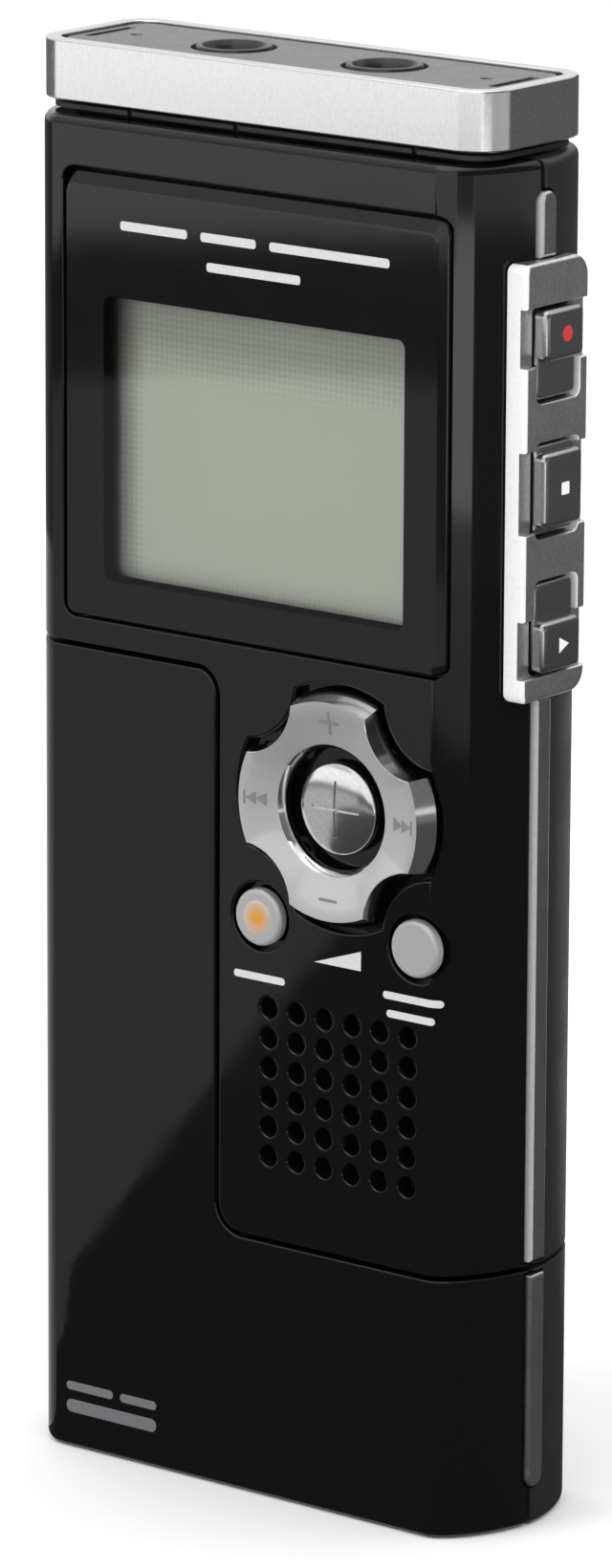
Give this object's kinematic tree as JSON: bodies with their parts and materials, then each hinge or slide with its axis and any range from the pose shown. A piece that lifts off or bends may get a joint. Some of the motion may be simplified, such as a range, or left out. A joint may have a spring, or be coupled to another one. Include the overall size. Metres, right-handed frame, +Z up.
{
  "type": "handheld voice recorder",
  "caption": "Slim upright voice recorder: metal top cap with two jacks, display window, ring keypad, speaker grille, side transport keys and a slide-off battery unit over a plug.",
  "frame": {"origin": "centre of the bottom face of the battery unit's foot", "axes": "+Z up along the recorder's length towards the metal cap, the display faces -Y, the transport keys are on +X"},
  "size_m": [0.0407, 0.0153, 0.0948],
  "materials": {
    "gloss_black_shell": "high gloss",
    "satin_black_plastic": "satin",
    "matt_black_plastic": "matt",
    "satin_silver": "satin silver",
    "silver_keys": "satin to bright silver",
    "plate_grey": "fine satin",
    "bright_metal": "bright",
    "gold_contact": "plated",
    "display_window_tint": "clear, dark printed border",
    "liquid_crystal": "grey green display",
    "light_guide": "frosted",
    "white_plastic": "moulded",
    "black_rubber": "soft",
    "board_green": "solder mask",
    "cell_wrap": "printed wrap"
  },
  "bodies": {
    "control_unit": {"front_shell": "gloss_black_shell", "rear_shell": "satin_black_plastic", "neck_frame": "satin_black_plastic", "top_cap_band": "satin_silver", "top_plate": "plate_grey", "earphone_jack_collar": "satin_black_plastic", "microphone_jack_collar": "satin_black_plastic", "earphone_jack": "matt_black_plastic", "microphone_jack": "matt_black_plastic", "left_microphone": "bright_metal", "right_microphone": "bright_metal", "display_window": "display_window_tint", "display_panel": "liquid_crystal", "display_holder": "white_plastic", "display_light_guide": "light_guide", "display_connector_strip": "black_rubber", "main_circuit_board": "board_green", "processor_chip": "matt_black_plastic", "memory_chip": "matt_black_plastic", "timing_crystal": "bright_metal", "key_dome_sheet": "bright_metal", "side_switch_board": "board_green", "rec_switch": "bright_metal", "stop_switch": "bright_metal", "play_switch": "bright_metal", "speaker": "bright_metal", "speaker_gasket": "black_rubber", "speaker_mesh": "matt_black_plastic", "usb_plug_shell": "bright_metal", "usb_plug_tongue": "white_plastic", "side_button_bracket": "satin_silver", "upper_side_trim": "satin_silver", "middle_side_trim": "satin_silver", "power_pin_plus": "gold_contact", "power_pin_minus": "gold_contact", "upper_left_screw": "bright_metal", "upper_right_screw": "bright_metal", "lower_left_screw": "bright_metal", "lower_right_screw": "bright_metal"},
    "battery_unit": {"battery_unit_front_shell": "gloss_black_shell", "battery_unit_rear_shell": "satin_black_plastic", "usb_sleeve": "matt_black_plastic", "lower_side_trim": "satin_silver", "battery_cell": "cell_wrap", "battery_spring": "bright_metal", "battery_plus_contact": "bright_metal", "power_pad_plus": "gold_contact", "power_pad_minus": "gold_contact", "battery_unit_screw": "bright_metal"},
    "battery_cover": {"battery_cover": "satin_black_plastic"},
    "rec_key": {"rec_button": "silver_keys"},
    "stop_key": {"stop_button": "silver_keys"},
    "play_key": {"play_button": "silver_keys"},
    "nav_pivot": {"nav_pivot_plate": "white_plastic"},
    "nav_rocker": {"nav_ring": "satin_silver"},
    "ok_key": {"ok_button": "silver_keys"},
    "erase_key": {"erase_button": "silver_keys"},
    "folder_key": {"folder_button": "silver_keys"},
    "hold_slider": {"hold_switch": "satin_black_plastic"},
    "release_key": {"release_button": "satin_black_plastic"}
  },
  "joints": [
    {"name": "battery_unit_slide", "type": "slide", "parent": "control_unit", "child": "battery_unit", "axis": [0, 0, -1], "range_m": [0, 0.04]},
    {"name": "battery_cover_slide", "type": "slide", "parent": "battery_unit", "child": "battery_cover", "axis": [0, 0, -1], "range_m": [0, 0.045]},
    {"name": "rec_press", "type": "slide", "parent": "control_unit", "child": "rec_key", "axis": [-1, 0, 0], "range_m": [0, 0.00035], "stiffness_N_per_m": 500},
    {"name": "stop_press", "type": "slide", "parent": "control_unit", "child": "stop_key", "axis": [-1, 0, 0], "range_m": [0, 0.00035], "stiffness_N_per_m": 500},
    {"name": "play_press", "type": "slide", "parent": "control_unit", "child": "play_key", "axis": [-1, 0, 0], "range_m": [0, 0.00035], "stiffness_N_per_m": 500},
    {"name": "nav_tilt_up_down", "type": "hinge", "parent": "control_unit", "child": "nav_pivot", "pos_m": [0.0081, -0.00595, 0.04765], "axis": [1, 0, 0], "range_deg": [-2, 2], "stiffness_Nm_per_rad": 0.05},
    {"name": "nav_tilt_left_right", "type": "hinge", "parent": "nav_pivot", "child": "nav_rocker", "pos_m": [0.0081, -0.00595, 0.04765], "axis": [0, 0, 1], "range_deg": [-2, 2], "stiffness_Nm_per_rad": 0.05},
    {"name": "ok_press", "type": "slide", "parent": "control_unit", "child": "ok_key", "axis": [0, 1, 0], "range_m": [0, 0.0003], "stiffness_N_per_m": 400},
    {"name": "erase_press", "type": "slide", "parent": "control_unit", "child": "erase_key", "axis": [0, 1, 0], "range_m": [0, 0.0003], "stiffness_N_per_m": 400},
    {"name": "folder_press", "type": "slide", "parent": "control_unit", "child": "folder_key", "axis": [0, 1, 0], "range_m": [0, 0.0003], "stiffness_N_per_m": 400},
    {"name": "hold_slide", "type": "slide", "parent": "control_unit", "child": "hold_slider", "axis": [0, 0, -1], "range_m": [0, 0.003]},
    {"name": "release_press", "type": "slide", "parent": "control_unit", "child": "release_key", "axis": [0, -1, 0], "range_m": [0, 0.0005], "stiffness_N_per_m": 500}
  ]
}
